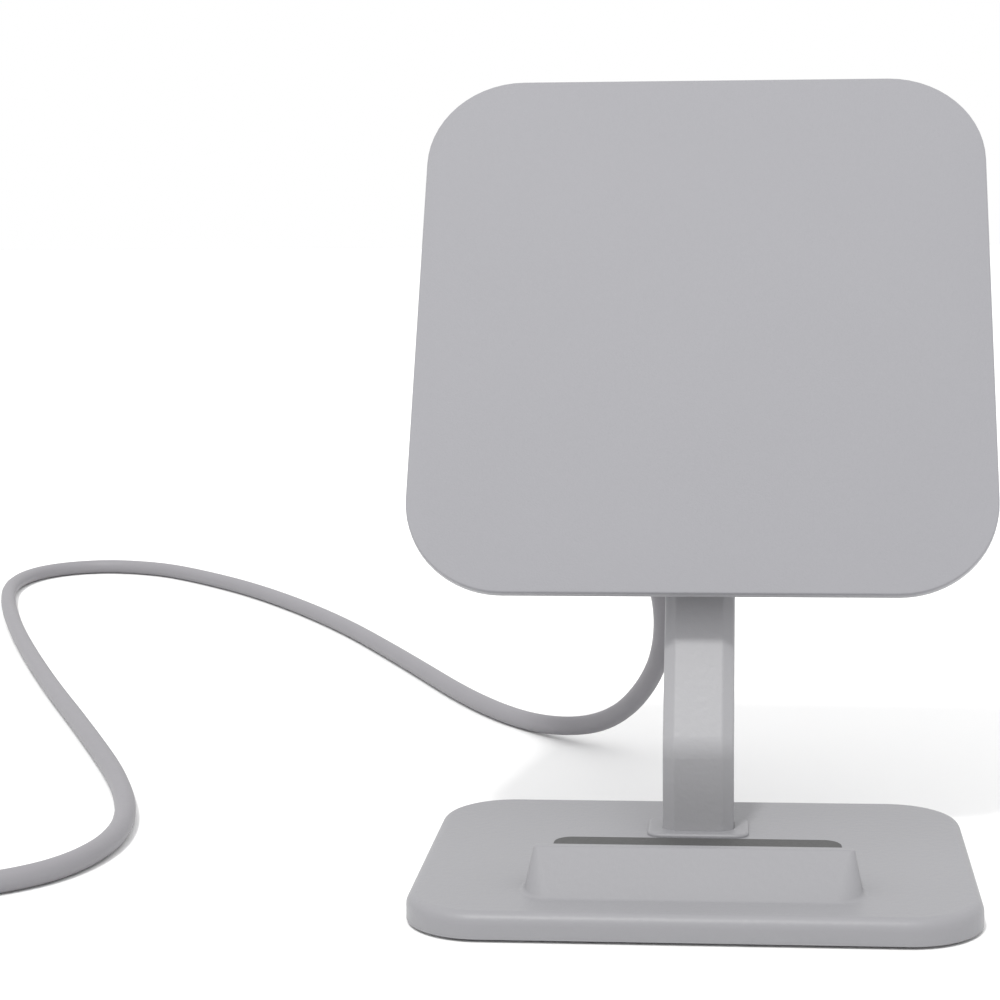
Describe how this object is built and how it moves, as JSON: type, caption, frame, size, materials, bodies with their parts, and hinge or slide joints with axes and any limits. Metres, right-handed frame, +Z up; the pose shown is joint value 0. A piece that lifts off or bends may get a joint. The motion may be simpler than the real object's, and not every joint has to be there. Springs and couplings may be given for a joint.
{
  "type": "wireless charging stand",
  "caption": "Upright wireless charger: a square pad with rounded corners slides on a bent arm above a low base with a phone lip; a light power cord leaves behind the pad",
  "frame": {"origin": "on the table, under the middle of the base's footprint", "axes": "+Z up, -Y towards the user, +X to the user's right"},
  "size_m": [0.246, 0.4089, 0.1296],
  "materials": {
    "soft_skin": "soft-touch moulded skin, fine grain",
    "shell_plastic": "moulded plastic, fine texture",
    "inner_plastic": "moulded plastic",
    "copper_winding": "enamelled copper wire",
    "ferrite": "sintered ferrite",
    "shield_metal": "rolled sheet",
    "board": "lacquered circuit board",
    "board_components": "moulded components",
    "slip_plastic": "self-lubricating plastic",
    "screw_steel": "zinc-plated steel",
    "arm_metal": "satin powder coat",
    "base_paint": "satin powder coat",
    "rest_silicone": "matte silicone",
    "ballast_steel": "stamped sheet",
    "cord_jacket": "matte elastomer jacket",
    "plug_plastic": "moulded plastic",
    "plug_nickel": "nickel plate",
    "plug_tongue": "white plastic",
    "contact_gold": "gold plate"
  },
  "bodies": {
    "stand": {"stem_arm": "arm_metal", "arm_cap": "arm_metal", "cap_fastener": "screw_steel", "stop_screw": "screw_steel", "foot_collar": "base_paint", "base_cover": "base_paint", "rest_pad": "rest_silicone", "base_floor": "ballast_steel", "ballast_plate": "ballast_steel", "foot_pad": "rest_silicone", "floor_screws": "screw_steel", "arm_screws": "screw_steel", "cord": "cord_jacket", "cord_coil": "cord_jacket", "cord_clip": "shell_plastic", "cord_tail": "cord_jacket", "plug_relief": "cord_jacket", "plug_body": "plug_plastic", "plug_shell": "plug_nickel", "plug_insert": "plug_tongue", "plug_contacts": "contact_gold"},
    "head": {"pad_skin": "soft_skin", "face_plate": "shell_plastic", "rear_cover": "shell_plastic", "cover_screws": "screw_steel", "coil_carrier": "inner_plastic", "charging_coil": "copper_winding", "ferrite_sheet": "ferrite", "shield_plate": "shield_metal", "circuit_board": "board", "board_parts": "board_components", "slider_bracket": "inner_plastic", "guide_liners": "slip_plastic", "friction_shoe": "slip_plastic", "leaf_spring": "screw_steel", "bracket_screws": "screw_steel", "keeper_plate": "arm_metal", "keeper_screws": "screw_steel", "cord_boot": "cord_jacket"}
  },
  "joints": [
    {"name": "pad_slide", "type": "slide", "parent": "stand", "child": "head", "axis": [0, 0.5173, 0.8558], "range_m": [-0.03, 0], "deforming": ["cord"]}
  ]
}
